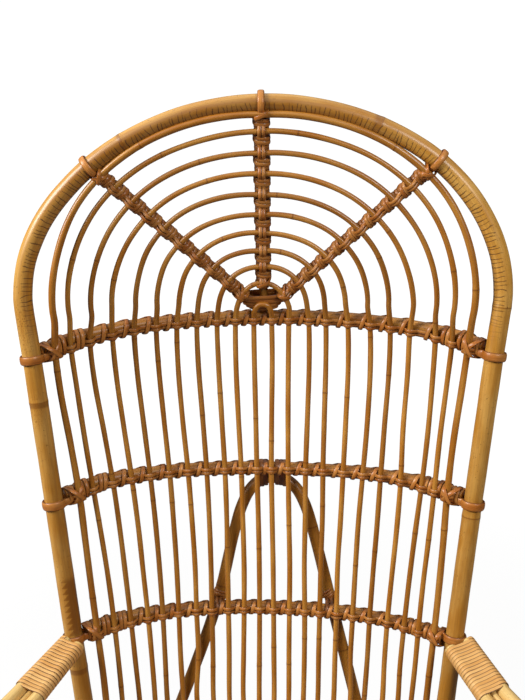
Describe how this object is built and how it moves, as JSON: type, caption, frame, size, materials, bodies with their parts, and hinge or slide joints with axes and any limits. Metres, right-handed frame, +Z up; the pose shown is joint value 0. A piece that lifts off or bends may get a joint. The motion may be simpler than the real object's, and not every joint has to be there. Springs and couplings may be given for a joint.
{
  "type": "peacock chair",
  "caption": "Rattan armchair with a tall arched back of concentric bent canes on bowed rails, triple-pole arms and a slatted cane seat.",
  "frame": {"origin": "on the floor, at the middle of the bounding box", "axes": "+Z up, the sitter faces -Y, +X to the right as seen by someone facing the chair"},
  "size_m": [0.8204, 0.7968, 1.3443],
  "materials": {
    "pole": "bent rattan pole, satin golden varnish",
    "cane": "peeled thin rattan cane, satin honey varnish",
    "rail": "rattan rod, satin brown varnish",
    "lashing": "split cane strand, glossy reddish brown",
    "arm_binding": "flat split cane strip, glossy pale tan"
  },
  "bodies": {
    "root": {"back_hoop": "pole", "upper_back_rail": "rail", "middle_back_rail": "rail", "lower_back_rail": "rail", "rear_seat_rail": "rail", "arch_cane_01": "cane", "arch_cane_02": "cane", "arch_cane_03": "cane", "arch_cane_04": "cane", "arch_cane_05": "cane", "arch_cane_06": "cane", "arch_cane_07": "cane", "arch_cane_08": "cane", "arch_cane_09": "cane", "arch_cane_10": "cane", "arch_cane_11": "cane", "left_spoke": "rail", "centre_spoke": "rail", "right_spoke": "rail", "upper_rail_lashing": "lashing", "middle_rail_lashing": "lashing", "lower_rail_lashing": "lashing", "left_spoke_lashing": "lashing", "centre_spoke_lashing": "lashing", "right_spoke_lashing": "lashing", "hub_binding": "lashing", "rear_brace": "pole", "left_arm_outer_pole": "pole", "left_arm_inner_pole": "pole", "left_arm_core_pole": "pole", "left_arm_rear_binding": "arm_binding", "left_arm_front_binding": "arm_binding", "right_arm_outer_pole": "pole", "right_arm_inner_pole": "pole", "right_arm_core_pole": "pole", "right_arm_rear_binding": "arm_binding", "right_arm_front_binding": "arm_binding", "seat_ring": "pole", "seat_cross_rail_front": "rail", "seat_cross_rail_rear": "rail", "front_stretcher": "pole", "rear_stretcher": "pole", "left_side_stretcher": "pole", "right_side_stretcher": "pole"}
  },
  "joints": []
}
